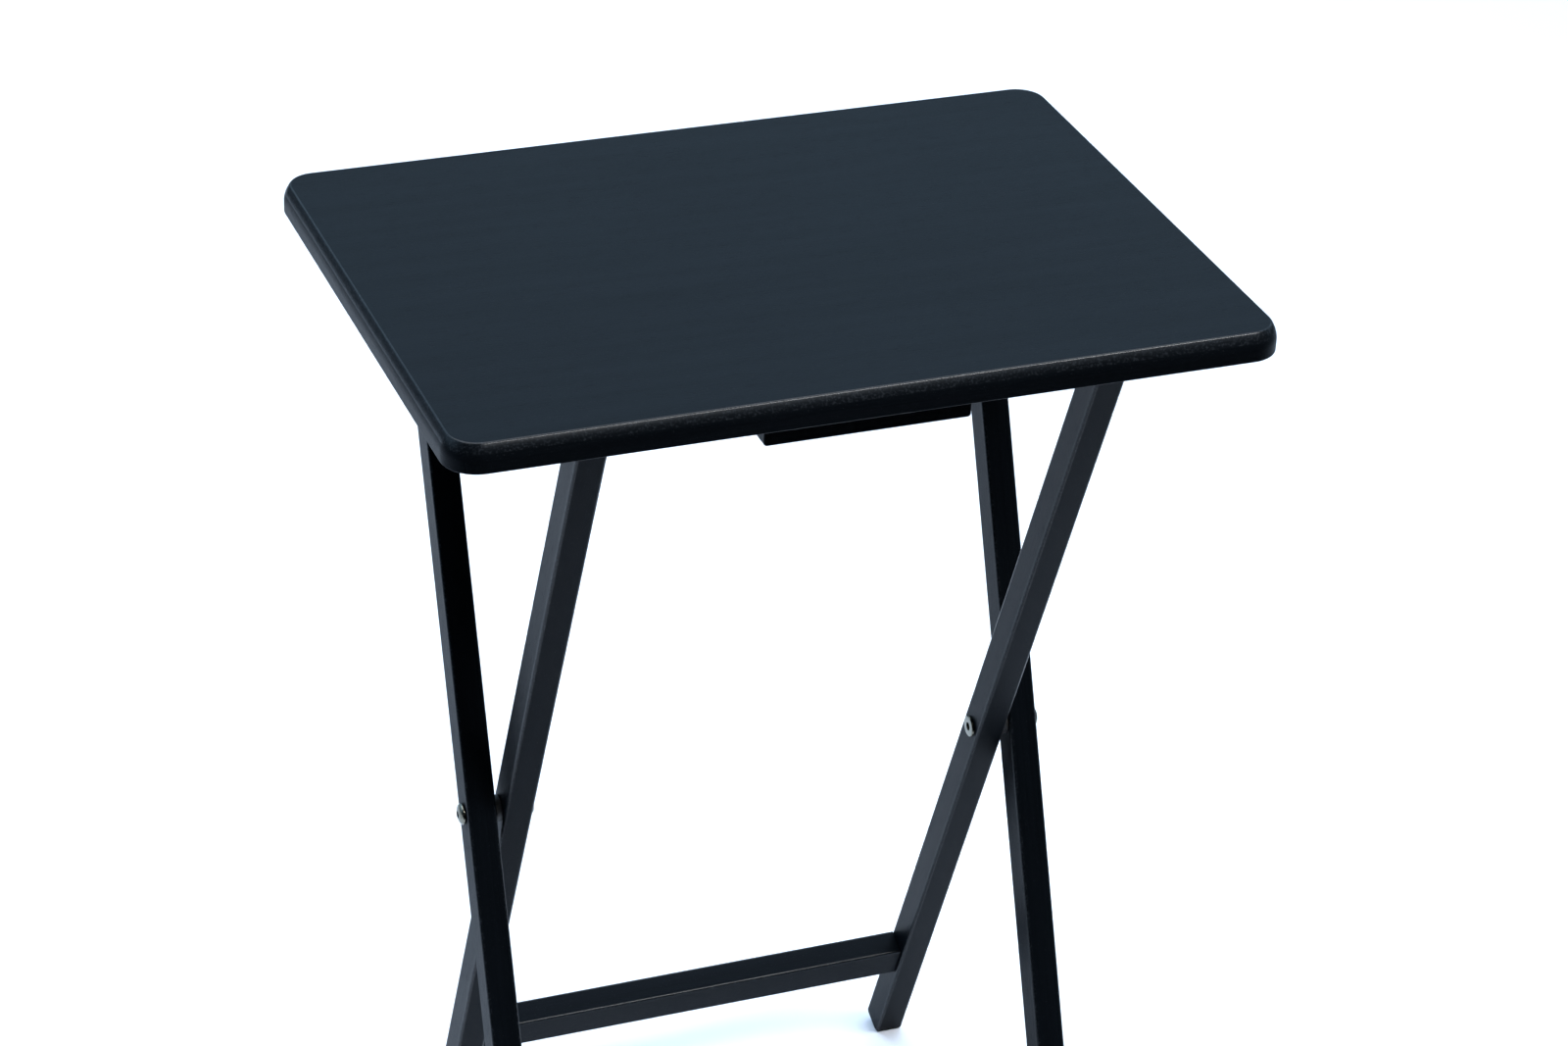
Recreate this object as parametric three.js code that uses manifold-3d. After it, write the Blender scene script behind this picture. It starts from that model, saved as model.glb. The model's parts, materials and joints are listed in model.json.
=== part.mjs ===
// Folding tray table: a tabletop on two crossed leg frames.
// Millimetres, +X right, +Y back, +Z up. The origin is on the floor under the middle of the tabletop.
// The outer frame stands with its feet at the front and is hinged to the tabletop at the back. The
// inner frame stands with its feet at the back, and the bar between its tops sits in a catch at the
// front. Both frames turn on one pair of pivot bolts.

import * as THREE from 'three';
import { mergeVertices } from 'three/addons/utils/BufferGeometryUtils.js';
import Module from 'manifold-3d';

const wasm = await Module();
wasm.setup();

// ---- driving dimensions -------------------------------------------------------------------------

const TABLE_HEIGHT = 655;
const FIT_GAP = 0.3; // between pieces that touch
const ROUND_SIDES = 20; // sides of a small round piece
const OVERCUT = 1; // how far a hole's tool runs past the face it opens in

const TOP = { width: 483, depth: 350, thickness: 17, cornerRadius: 20, edgeRadius: 4 };

const LEG = { thickness: 18, depth: 20, edgeRadius: 1.6, footFlatLift: 1.5, heelChamfer: 2.5 };
const LEG_INSET = 58.5; // from the tabletop's ends to the outer legs
const HINGE_INSET = 59; // from the tabletop's rear edge to the hinge axis
const INNER_TOP_INSET = 43; // from the tabletop's front edge to the middle of the inner legs' tops
const PIVOT_HEIGHT = 314;
const FRAME_GAP = 4; // between an outer leg and its inner leg
const LEG_TOP_GAP = 0.5; // between the round leg tops and the underside

const STRETCHER = { depth: 17, height: 25, edgeRadius: 1.6, distance: 252 };
const RAIL = { depth: 12, height: 25, edgeRadius: 1.6, distance: 252 };
const DOWEL = { radius: 3, length: 24, chamfer: 0.8, spacing: 12, sides: 12 };

const BAR = { radius: 6.5, topGap: 1.5, tenonRadius: 4, tenonLength: 12, chamfer: 0.8, sides: 24 };

const CATCH = { length: 121, frontWall: 15.5, jaw: 4.6, jawReach: 11, edgeRadius: 0.8, screwInset: 18 };
const CATCH_LEAD_IN = { run: 3, rise: 1.5 };

const CLEAT = { thickness: 18, height: 22, length: 250, rearOverhang: 26, edgeRadius: 1.6 };
const CLEAT_SCREW = { endInset: 25, hingeMargin: 38 };

const SPACER_RADIUS = 8;
const PIVOT_BOLT = { radius: 3, headRadius: 6.5, headHeight: 3.4, socketFlats: 4, socketDepth: 2 };
const SLEEVE = { wall: 0.9, length: 12, closedEnd: 3, socketFlats: 5, socketDepth: 2.5 };
const SLEEVE_FLANGE = { radius: 6.5, height: 1.6, chamfer: 0.5 };

const HINGE_BOLT = { radius: 3, headRadius: 6.5, headHeight: 3.4, socketFlats: 4, socketDepth: 2 };
const BOLT_TIP_CHAMFER = 0.6;
const WASHER = { radius: 7, thickness: 1.2 };
const INSERT = { wall: 1.3, length: 13 };

const SCREW = { radius: 2, headRadius: 3.9, headHeight: 2.4, tipLength: 4, tipRadius: 0.5, sides: 16 };
const SCREW_RECESS = { span: 4.2, width: 1, depth: 1.5 };
const SCREW_BITE = 11; // into the piece that holds the thread

// ---- places worked out from them ----------------------------------------------------------------

const undersideZ = TABLE_HEIGHT - TOP.thickness;
const hingeZ = undersideZ - LEG_TOP_GAP - LEG.depth / 2;
const hingeY = TOP.depth / 2 - HINGE_INSET;
const innerTopY = INNER_TOP_INSET - TOP.depth / 2;
const pivotY = (hingeY + innerTopY) / 2;
const legTilt = Math.atan2(hingeY - pivotY, hingeZ - PIVOT_HEIGHT);

// Reaches are distances from the pivot along a leg. The square foot's lower corner would reach
// footFlatLift below the floor, and the flat that the table stands on cuts it there.
const upperReach = (hingeZ - PIVOT_HEIGHT) / Math.cos(legTilt);
const footCentreZ = (LEG.depth / 2) * Math.sin(legTilt) - LEG.footFlatLift;
const lowerReach = (PIVOT_HEIGHT - footCentreZ) / Math.cos(legTilt);

// Places in X are for the right side, and the left side mirrors them.
const outerFaceOfOuterLeg = TOP.width / 2 - LEG_INSET;
const outerLegX = outerFaceOfOuterLeg - LEG.thickness / 2;
const innerFaceOfOuterLeg = outerFaceOfOuterLeg - LEG.thickness;
const outerFaceOfInnerLeg = innerFaceOfOuterLeg - FRAME_GAP;
const innerLegX = outerFaceOfInnerLeg - LEG.thickness / 2;
const innerFaceOfInnerLeg = outerFaceOfInnerLeg - LEG.thickness;

const barZ = undersideZ - BAR.topGap - BAR.radius;
const barReach = (barZ - PIVOT_HEIGHT) / Math.cos(legTilt);
const barY = pivotY - barReach * Math.sin(legTilt);

const washerX = outerFaceOfOuterLeg + FIT_GAP;
const cleatX = washerX + WASHER.thickness + FIT_GAP + CLEAT.thickness / 2;

// ---- shapes and solids --------------------------------------------------------------------------

function asManifold(geometry) {
  const plain = geometry.index ? geometry.toNonIndexed() : geometry.clone();
  for (const name of Object.keys(plain.attributes)) {
    if (name !== 'position') plain.deleteAttribute(name);
  }
  const merged = mergeVertices(plain, 1e-4);
  const vertProperties = new Float32Array(merged.attributes.position.array);
  const triVerts = new Uint32Array(merged.index.array);
  return new wasm.Manifold(new wasm.Mesh({ numProp: 3, vertProperties, triVerts }));
}

function asGeometry(manifold) {
  const mesh = manifold.getMesh();
  const geometry = new THREE.BufferGeometry();
  geometry.setAttribute('position', new THREE.BufferAttribute(mesh.vertProperties, 3));
  geometry.setIndex(new THREE.BufferAttribute(mesh.triVerts, 1));
  geometry.computeVertexNormals();
  return geometry;
}

function cut(geometry, tools) {
  let solid = asManifold(geometry);
  for (const tool of tools) solid = solid.subtract(asManifold(tool));
  return asGeometry(solid);
}

function at(geometry, x, y, z) {
  return geometry.clone().translate(x, y, z);
}

// A shape drawn in (Y, Z), extruded along X about x = 0, with its outline edges rounded.
function slabAlongX(shape, width, edgeRadius) {
  const geometry = new THREE.ExtrudeGeometry(shape, {
    depth: width - 2 * edgeRadius,
    bevelThickness: edgeRadius,
    bevelSize: edgeRadius,
    bevelOffset: -edgeRadius,
    bevelSegments: 2,
    curveSegments: 5,
  });
  geometry.translate(0, 0, edgeRadius - width / 2);
  const yzx = new THREE.Matrix4().makeBasis(
    new THREE.Vector3(0, 1, 0),
    new THREE.Vector3(0, 0, 1),
    new THREE.Vector3(1, 0, 0),
  );
  return geometry.applyMatrix4(yzx);
}

function rectangle(y0, y1, z0, z1) {
  const shape = new THREE.Shape();
  shape.moveTo(y0, z0);
  shape.lineTo(y1, z0);
  shape.lineTo(y1, z1);
  shape.lineTo(y0, z1);
  shape.closePath();
  return shape;
}

// A turned piece on the Z axis from [radius, z] points that run upwards and close on the axis.
function turned(points, sides = ROUND_SIDES) {
  const profile = [[0, points[0][1]], ...points, [0, points[points.length - 1][1]]];
  return new THREE.LatheGeometry(profile.map(([r, z]) => new THREE.Vector2(r, z)), sides)
    .rotateX(Math.PI / 2);
}

function ring(innerRadius, outerRadius, length, sides = ROUND_SIDES) {
  const corners = [
    [innerRadius, 0],
    [outerRadius, 0],
    [outerRadius, length],
    [innerRadius, length],
    [innerRadius, 0],
  ];
  return new THREE.LatheGeometry(corners.map(([r, z]) => new THREE.Vector2(r, z)), sides)
    .rotateX(Math.PI / 2);
}

function rod(radius, length, chamfer = 0, sides = ROUND_SIDES) {
  if (chamfer === 0) return turned([[radius, 0], [radius, length]], sides);
  return turned(
    [[radius - chamfer, 0], [radius, chamfer], [radius, length - chamfer], [radius - chamfer, length]],
    sides,
  );
}

// Turns a piece made on the Z axis so that it runs along X: direction 1 points +Z to +X.
function alongX(geometry, direction) {
  return geometry.clone().rotateY(direction * Math.PI / 2);
}

function hexagon(acrossFlats, depth) {
  return new THREE.CylinderGeometry(acrossFlats / Math.sqrt(3), acrossFlats / Math.sqrt(3), depth, 6)
    .rotateX(Math.PI / 2);
}

// ---- materials ----------------------------------------------------------------------------------

const lacquer = new THREE.MeshStandardMaterial({ color: 0x20242a, roughness: 0.42, metalness: 0 });
const bareWood = new THREE.MeshStandardMaterial({ color: 0xc9a777, roughness: 0.7, metalness: 0 });
const nickel = new THREE.MeshStandardMaterial({ color: 0xb9b4a8, roughness: 0.28, metalness: 1 });
const zinc = new THREE.MeshStandardMaterial({ color: 0x9ea2a6, roughness: 0.4, metalness: 1 });
const brass = new THREE.MeshStandardMaterial({ color: 0xb08d4c, roughness: 0.35, metalness: 1 });
const nylon = new THREE.MeshStandardMaterial({ color: 0x17181a, roughness: 0.55, metalness: 0 });

function piece(name, geometry, material) {
  const mesh = new THREE.Mesh(geometry, material);
  mesh.name = name;
  return mesh;
}

const SIDES = [
  { name: 'left', sign: -1 },
  { name: 'right', sign: 1 },
];

// ---- wood screws --------------------------------------------------------------------------------

// A countersunk screw pointing up: the head's flat face is at z = 0 and the tip at z = length.
function woodScrew(length) {
  const { radius, headRadius, headHeight, tipLength, tipRadius, sides } = SCREW;
  const body = turned([
    [headRadius, 0],
    [radius, headHeight],
    [radius, length - tipLength],
    [tipRadius, length],
  ], sides);
  const { span, width, depth } = SCREW_RECESS;
  const slot = new THREE.BoxGeometry(span, width, 2 * depth);
  const crossSlot = new THREE.BoxGeometry(width, span, 2 * depth);
  return cut(body, [slot, crossSlot]);
}

// The hole for it, with its mouth at z = 0 and the screw's head FIT_GAP inside it.
function woodScrewHole(length) {
  const radius = SCREW.radius + FIT_GAP;
  const headRadius = SCREW.headRadius + FIT_GAP;
  return turned([
    [headRadius, -OVERCUT],
    [headRadius, FIT_GAP],
    [radius, SCREW.headHeight + FIT_GAP],
    [radius, length + 2 * FIT_GAP],
  ], SCREW.sides);
}

// ---- tabletop assembly --------------------------------------------------------------------------

const cleatTopZ = undersideZ - FIT_GAP;
const cleatBottomZ = cleatTopZ - CLEAT.height;
const cleatRear = hingeY + CLEAT.rearOverhang;
const cleatFront = cleatRear - CLEAT.length;
const cleatScrewLength = CLEAT.height + SCREW_BITE;
const frontCleatScrewY = cleatFront + CLEAT_SCREW.endInset;
const rearCleatScrewY = hingeY - CLEAT_SCREW.hingeMargin;
const cleatScrewPlaces = [
  { name: 'front', y: frontCleatScrewY },
  { name: 'middle', y: (frontCleatScrewY + rearCleatScrewY) / 2 },
  { name: 'rear', y: rearCleatScrewY },
];

const catchTopZ = undersideZ - FIT_GAP;
const seatFloorZ = barZ - BAR.radius - FIT_GAP;
const catchBottomZ = seatFloorZ - CATCH.jaw;
const seatFrontY = barY - BAR.radius - FIT_GAP;
const catchFront = seatFrontY - CATCH.frontWall;
const catchRear = barY + CATCH.jawReach;
const catchScrewLength = catchTopZ - catchBottomZ + SCREW_BITE;
const catchScrewY = catchFront + CATCH.frontWall / 2;
const catchScrewPlaces = [
  { name: 'left', x: CATCH.screwInset - CATCH.length / 2 },
  { name: 'middle', x: 0 },
  { name: 'right', x: CATCH.length / 2 - CATCH.screwInset },
];

function buildTabletop() {
  const { width, depth, thickness, cornerRadius, edgeRadius } = TOP;
  const [x, y] = [width / 2, depth / 2];
  const outline = new THREE.Shape();
  outline.moveTo(-x + cornerRadius, -y);
  outline.lineTo(x - cornerRadius, -y);
  outline.absarc(x - cornerRadius, -y + cornerRadius, cornerRadius, -Math.PI / 2, 0);
  outline.absarc(x - cornerRadius, y - cornerRadius, cornerRadius, 0, Math.PI / 2);
  outline.absarc(-x + cornerRadius, y - cornerRadius, cornerRadius, Math.PI / 2, Math.PI);
  outline.absarc(-x + cornerRadius, -y + cornerRadius, cornerRadius, Math.PI, Math.PI * 1.5);
  const panel = new THREE.ExtrudeGeometry(outline, {
    depth: thickness - 2 * edgeRadius,
    bevelThickness: edgeRadius,
    bevelSize: edgeRadius,
    bevelOffset: -edgeRadius,
    bevelSegments: 3,
    curveSegments: 4,
  }).translate(0, 0, undersideZ + edgeRadius);

  const holes = [];
  for (const side of SIDES) {
    for (const place of cleatScrewPlaces) {
      holes.push(at(woodScrewHole(cleatScrewLength), side.sign * cleatX, place.y, cleatBottomZ));
    }
  }
  for (const place of catchScrewPlaces) {
    holes.push(at(woodScrewHole(catchScrewLength), place.x, catchScrewY, catchBottomZ));
  }
  return piece('tabletop', cut(panel, holes), lacquer);
}

function buildCleat(side) {
  const { thickness, edgeRadius } = CLEAT;
  const shape = rectangle(cleatFront, cleatRear, cleatBottomZ, cleatTopZ);
  const x = side.sign * cleatX;
  const bar = at(slabAlongX(shape, thickness, edgeRadius), x, 0, 0);
  const bore = rod(HINGE_BOLT.radius + FIT_GAP, thickness + 2 * OVERCUT);
  const holes = [at(alongX(bore, 1), x - thickness / 2 - OVERCUT, hingeY, hingeZ)];
  for (const place of cleatScrewPlaces) {
    holes.push(at(woodScrewHole(cleatScrewLength), x, place.y, cleatBottomZ));
  }
  return piece(`hinge_cleat_${side.name}`, cut(bar, holes), lacquer);
}

// A strip with a rabbet: the bar lies behind its front wall and over its jaw.
function buildCatch() {
  const shape = new THREE.Shape();
  shape.moveTo(catchFront, catchBottomZ);
  shape.lineTo(catchRear, catchBottomZ);
  shape.lineTo(catchRear, seatFloorZ - CATCH_LEAD_IN.rise);
  shape.lineTo(catchRear - CATCH_LEAD_IN.run, seatFloorZ);
  shape.lineTo(barY, seatFloorZ);
  shape.absarc(barY, barZ, BAR.radius + FIT_GAP, -Math.PI / 2, -Math.PI, true);
  shape.lineTo(seatFrontY, catchTopZ);
  shape.lineTo(catchFront, catchTopZ);
  shape.closePath();
  const strip = slabAlongX(shape, CATCH.length, CATCH.edgeRadius);
  const holes = catchScrewPlaces.map((place) =>
    at(woodScrewHole(catchScrewLength), place.x, catchScrewY, catchBottomZ));
  return piece('catch_strip', cut(strip, holes), lacquer);
}

function buildTabletopScrews() {
  const screws = [];
  for (const side of SIDES) {
    for (const place of cleatScrewPlaces) {
      const screw = at(woodScrew(cleatScrewLength), side.sign * cleatX, place.y, cleatBottomZ + FIT_GAP);
      screws.push(piece(`cleat_screw_${side.name}_${place.name}`, screw, zinc));
    }
  }
  for (const place of catchScrewPlaces) {
    const screw = at(woodScrew(catchScrewLength), place.x, catchScrewY, catchBottomZ + FIT_GAP);
    screws.push(piece(`catch_screw_${place.name}`, screw, zinc));
  }
  return screws;
}

// ---- leg frames ---------------------------------------------------------------------------------

// Each frame is built upright with its pivot at the origin and then tilted, so Z runs along the legs.
// "inward" is 1 or -1: the Y direction from a frame's feet towards the middle of the table.

function legShape(inward) {
  const half = LEG.depth / 2;
  const heel = -lowerReach;
  const flatRise = LEG.footFlatLift / Math.cos(legTilt);
  const flatRun = LEG.footFlatLift / Math.sin(legTilt);
  const foot = [
    [-half, heel + LEG.heelChamfer],
    [LEG.heelChamfer - half, heel],
    [half - flatRun, heel],
    [half, heel + flatRise],
  ];
  const outline = new THREE.Shape();
  outline.absarc(0, upperReach, half, 0, Math.PI);
  const corners = inward > 0 ? foot : foot.reverse();
  corners.forEach(([y, z]) => outline.lineTo(y * inward, z));
  outline.closePath();
  return outline;
}

function buildLeg(name, x, inward, holes) {
  const blank = at(slabAlongX(legShape(inward), LEG.thickness, LEG.edgeRadius), x, 0, 0);
  return piece(name, cut(blank, holes), lacquer);
}

// A bore along X at height z, from x to x + length on the right side, that clears a round piece.
function sideBore(sign, pieceRadius, x, length, z, y = 0) {
  return at(alongX(rod(pieceRadius + FIT_GAP, length), sign), sign * x, y, z);
}

// ---- outer frame --------------------------------------------------------------------------------

// The rail lies on the front faces of the outer legs, clear of the inner legs that fold between them.
const railFrontY = -LEG.depth / 2 - FIT_GAP - RAIL.depth;
const railScrewLength = RAIL.depth + SCREW_BITE;

function railScrewPlace(side, clearance) {
  return [side.sign * outerLegX, railFrontY + clearance, -RAIL.distance];
}

// A piece made on the Z axis, turned to run along +Y.
function alongY(geometry) {
  return geometry.clone().rotateX(-Math.PI / 2);
}

function buildOuterFrame() {
  const frame = new THREE.Group();
  for (const side of SIDES) {
    const { sign } = side;
    const holes = [
      sideBore(sign, PIVOT_BOLT.radius, innerFaceOfOuterLeg - OVERCUT, LEG.thickness + 2 * OVERCUT, 0),
      sideBore(sign, insertRadius, insertInnerX - FIT_GAP, LEG.thickness, upperReach),
      at(alongY(woodScrewHole(railScrewLength)), ...railScrewPlace(side, 0)),
    ];
    frame.add(buildLeg(`outer_leg_${side.name}`, sign * outerLegX, 1, holes));
    frame.add(...buildHinge(side), ...buildPivot(side));
    const screw = at(alongY(woodScrew(railScrewLength)), ...railScrewPlace(side, FIT_GAP));
    frame.add(piece(`rail_screw_${side.name}`, screw, zinc));
  }
  frame.add(buildRail());
  frame.position.set(0, pivotY, PIVOT_HEIGHT);
  frame.rotation.x = -legTilt;
  return frame;
}

function buildRail() {
  const { depth, height, distance, edgeRadius } = RAIL;
  const shape = rectangle(railFrontY, railFrontY + depth, -distance - height / 2, -distance + height / 2);
  const holes = SIDES.map((side) => at(alongY(woodScrewHole(railScrewLength)), ...railScrewPlace(side, 0)));
  return piece('outer_rail', cut(slabAlongX(shape, 2 * outerFaceOfOuterLeg, edgeRadius), holes), lacquer);
}

// A bolt with a domed head, made on the Z axis: its shank runs down from z = 0 and its head is above.
function domedBolt(spec, shankLength) {
  const { radius, headRadius, headHeight, socketFlats, socketDepth } = spec;
  const domeSteps = 4;
  const rimHeight = headHeight / 5;
  const dome = [];
  for (let step = 0; step < domeSteps; step += 1) {
    const angle = (step / domeSteps) * (Math.PI / 2);
    dome.push([headRadius * Math.cos(angle), rimHeight + (headHeight - rimHeight) * Math.sin(angle)]);
  }
  dome.push([socketFlats / 2, headHeight]);
  const body = turned([
    [radius - BOLT_TIP_CHAMFER, -shankLength],
    [radius, BOLT_TIP_CHAMFER - shankLength],
    [radius, 0],
    [headRadius, 0],
    ...dome,
  ]);
  return cut(body, [at(hexagon(socketFlats, 2 * socketDepth), 0, 0, headHeight)]);
}

const insertRadius = HINGE_BOLT.radius + FIT_GAP + INSERT.wall;
const insertInnerX = outerFaceOfOuterLeg - INSERT.length;

function buildHinge(side) {
  const { sign, name } = side;
  const cleatOuterX = cleatX + CLEAT.thickness / 2;
  const shank = cleatOuterX + FIT_GAP - insertInnerX - BOLT_TIP_CHAMFER;
  const bolt = at(alongX(domedBolt(HINGE_BOLT, shank), sign),
    sign * (cleatOuterX + FIT_GAP), 0, upperReach);
  const washer = at(alongX(ring(HINGE_BOLT.radius + FIT_GAP, WASHER.radius, WASHER.thickness), sign),
    sign * washerX, 0, upperReach);
  const insert = at(alongX(ring(HINGE_BOLT.radius + FIT_GAP, insertRadius, INSERT.length), sign),
    sign * insertInnerX, 0, upperReach);
  return [
    piece(`hinge_bolt_${name}`, bolt, nickel),
    piece(`hinge_washer_${name}`, washer, nylon),
    piece(`hinge_insert_${name}`, insert, brass),
  ];
}

const sleeveRadius = PIVOT_BOLT.radius + FIT_GAP + SLEEVE.wall;

function buildPivot(side) {
  const { sign, name } = side;
  const nutFaceX = innerFaceOfInnerLeg - FIT_GAP;
  const threadStartX = nutFaceX + SLEEVE.closedEnd;
  const shank = outerFaceOfOuterLeg - threadStartX - FIT_GAP;
  const bolt = at(alongX(domedBolt(PIVOT_BOLT, shank), sign), sign * (outerFaceOfOuterLeg + FIT_GAP), 0, 0);
  const spacerLength = FRAME_GAP - 2 * FIT_GAP;
  const spacer = at(alongX(ring(PIVOT_BOLT.radius + FIT_GAP, SPACER_RADIUS, spacerLength), sign),
    sign * (outerFaceOfInnerLeg + FIT_GAP), 0, 0);
  const nut = at(alongX(sleeveNut(), sign), sign * nutFaceX, 0, 0);
  return [
    piece(`pivot_bolt_${name}`, bolt, nickel),
    piece(`pivot_spacer_${name}`, spacer, nylon),
    piece(`pivot_sleeve_nut_${name}`, nut, nickel),
  ];
}

// A flanged tube nut made on the Z axis: the flange is below z = 0, with a hexagonal socket in it.
function sleeveNut() {
  const { radius, height, chamfer } = SLEEVE_FLANGE;
  const body = turned([
    [radius - chamfer, -height],
    [radius, chamfer - height],
    [radius, 0],
    [sleeveRadius, 0],
    [sleeveRadius, SLEEVE.length],
  ]);
  const thread = at(rod(PIVOT_BOLT.radius + FIT_GAP, SLEEVE.length), 0, 0, SLEEVE.closedEnd);
  const socket = at(hexagon(SLEEVE.socketFlats, 2 * SLEEVE.socketDepth), 0, 0, -height);
  return cut(body, [thread, socket]);
}

// ---- inner frame --------------------------------------------------------------------------------

// The stretcher is flush with the legs' rear faces.
const stretcherY = (LEG.depth - STRETCHER.depth) / 2;

const dowelPlaces = [
  { name: 'upper', z: DOWEL.spacing / 2 - STRETCHER.distance },
  { name: 'lower', z: -DOWEL.spacing / 2 - STRETCHER.distance },
];

// Half of each dowel is in the leg and half in the stretcher's end.
function dowelHole(side, place) {
  const length = DOWEL.length + 2 * FIT_GAP;
  return sideBore(side.sign, DOWEL.radius, innerFaceOfInnerLeg - length / 2, length, place.z, stretcherY);
}

function buildDowels(side) {
  return dowelPlaces.map((place) => {
    const dowel = alongX(rod(DOWEL.radius, DOWEL.length, DOWEL.chamfer, DOWEL.sides), side.sign);
    const x = side.sign * (innerFaceOfInnerLeg - DOWEL.length / 2);
    return piece(`stretcher_dowel_${side.name}_${place.name}`, at(dowel, x, stretcherY, place.z), bareWood);
  });
}

function buildInnerFrame() {
  const frame = new THREE.Group();
  const mouthX = innerFaceOfInnerLeg - OVERCUT;
  for (const side of SIDES) {
    const { sign } = side;
    const holes = [
      sideBore(sign, PIVOT_BOLT.radius, mouthX, LEG.thickness + 2 * OVERCUT, 0),
      sideBore(sign, sleeveRadius, mouthX, OVERCUT + SLEEVE.length, 0),
      sideBore(sign, BAR.tenonRadius, mouthX, OVERCUT + BAR.tenonLength + FIT_GAP, barReach),
      ...dowelPlaces.map((place) => dowelHole(side, place)),
    ];
    frame.add(buildLeg(`inner_leg_${side.name}`, sign * innerLegX, -1, holes), ...buildDowels(side));
  }
  frame.add(buildStretcher(), buildTopBar());
  frame.position.set(0, pivotY, PIVOT_HEIGHT);
  frame.rotation.x = legTilt;
  return frame;
}

function buildStretcher() {
  const { depth, height, distance, edgeRadius } = STRETCHER;
  const shape = rectangle(stretcherY - depth / 2, stretcherY + depth / 2,
    -distance - height / 2, -distance + height / 2);
  const holes = SIDES.flatMap((side) => dowelPlaces.map((place) => dowelHole(side, place)));
  const width = 2 * (innerFaceOfInnerLeg - FIT_GAP);
  return piece('inner_stretcher', cut(slabAlongX(shape, width, edgeRadius), holes), lacquer);
}

function buildTopBar() {
  const shoulder = innerFaceOfInnerLeg - FIT_GAP;
  const tip = innerFaceOfInnerLeg + BAR.tenonLength;
  const { radius, tenonRadius, chamfer } = BAR;
  const bar = turned([
    [tenonRadius - chamfer, -tip],
    [tenonRadius, chamfer - tip],
    [tenonRadius, -shoulder],
    [radius, -shoulder],
    [radius, shoulder],
    [tenonRadius, shoulder],
    [tenonRadius, tip - chamfer],
    [tenonRadius - chamfer, tip],
  ], BAR.sides);
  return piece('inner_top_bar', at(alongX(bar, 1), 0, 0, barReach), lacquer);
}

// ---- assembly -----------------------------------------------------------------------------------

const table = new THREE.Group();
table.name = 'folding_tray_table';
table.add(buildTabletop(), ...SIDES.map(buildCleat), buildCatch(), ...buildTabletopScrews());
table.add(buildOuterFrame(), buildInnerFrame());

export default table;
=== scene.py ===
# %% [markdown]
# # A folding tray table
# This lesson builds the looks of a small folding table: a tabletop, two crossed leg frames that
# scissor round a pair of bolts, and the strips, bars and screws under the top. A measured model
# of the table is already there as a frame. Each piece of the frame that shows is made again here
# with soft edges and a real finish, and then rides on the same moving body.

# %% Load the measured frame
import json
import math

import bmesh
import bpy
from mathutils import Matrix, Vector

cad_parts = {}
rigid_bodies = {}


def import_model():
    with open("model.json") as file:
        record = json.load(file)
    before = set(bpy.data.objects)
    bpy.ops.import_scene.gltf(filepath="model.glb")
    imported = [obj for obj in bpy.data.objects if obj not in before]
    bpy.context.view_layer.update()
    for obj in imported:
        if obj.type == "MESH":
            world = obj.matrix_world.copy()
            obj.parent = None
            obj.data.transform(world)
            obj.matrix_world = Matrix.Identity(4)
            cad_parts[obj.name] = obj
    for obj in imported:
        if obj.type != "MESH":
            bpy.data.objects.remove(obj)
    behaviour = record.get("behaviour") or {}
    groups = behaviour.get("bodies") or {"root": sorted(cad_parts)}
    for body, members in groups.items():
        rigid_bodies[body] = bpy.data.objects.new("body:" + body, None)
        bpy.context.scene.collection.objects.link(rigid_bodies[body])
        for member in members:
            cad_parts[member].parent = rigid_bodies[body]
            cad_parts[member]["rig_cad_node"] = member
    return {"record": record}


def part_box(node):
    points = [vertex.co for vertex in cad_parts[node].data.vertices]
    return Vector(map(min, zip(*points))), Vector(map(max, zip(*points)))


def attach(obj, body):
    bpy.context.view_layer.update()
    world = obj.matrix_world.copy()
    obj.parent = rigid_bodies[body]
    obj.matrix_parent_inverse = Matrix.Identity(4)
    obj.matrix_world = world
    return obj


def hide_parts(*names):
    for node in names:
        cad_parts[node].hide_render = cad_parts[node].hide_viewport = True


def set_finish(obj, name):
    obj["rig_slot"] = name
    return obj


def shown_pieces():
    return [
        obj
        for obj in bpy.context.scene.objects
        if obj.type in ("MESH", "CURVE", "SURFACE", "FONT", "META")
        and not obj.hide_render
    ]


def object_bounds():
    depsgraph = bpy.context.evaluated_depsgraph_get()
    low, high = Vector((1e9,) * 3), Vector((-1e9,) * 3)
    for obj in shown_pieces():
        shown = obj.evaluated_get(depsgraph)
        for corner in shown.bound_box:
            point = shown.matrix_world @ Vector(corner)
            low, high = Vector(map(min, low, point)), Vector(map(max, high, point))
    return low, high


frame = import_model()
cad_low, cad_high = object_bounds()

MM = 0.001

# %% [markdown]
# ## Where the frames turn
# Everything on the two leg frames is measured from two axes: the pivot where the legs cross, and
# the hinge under the back of the tabletop. The middle of the ring round each bolt gives its axis.
# The line between them gives the lean of the legs. Each frame is made upright round the pivot,
# as on a workbench, and is leaned over when its pieces are done.

# %% Find the two axes and the lean
def middle_of(node):
    low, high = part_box(node)
    return (low + high) / 2


pivot = middle_of("pivot_spacer_left")
pivot.x = 0
hinge = middle_of("hinge_washer_left")
hinge.x = 0
hinge_reach = (hinge - pivot).length
lean = math.atan2(hinge.y - pivot.y, hinge.z - pivot.z)
OUTER_LEAN = Matrix.Translation(pivot) @ Matrix.Rotation(-lean, 4, "X")
INNER_LEAN = Matrix.Translation(pivot) @ Matrix.Rotation(lean, 4, "X")
print(f"pivot {pivot.z / MM:.1f} mm up, hinge {hinge_reach / MM:.1f} mm away, lean {math.degrees(lean):.2f}")

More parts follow.
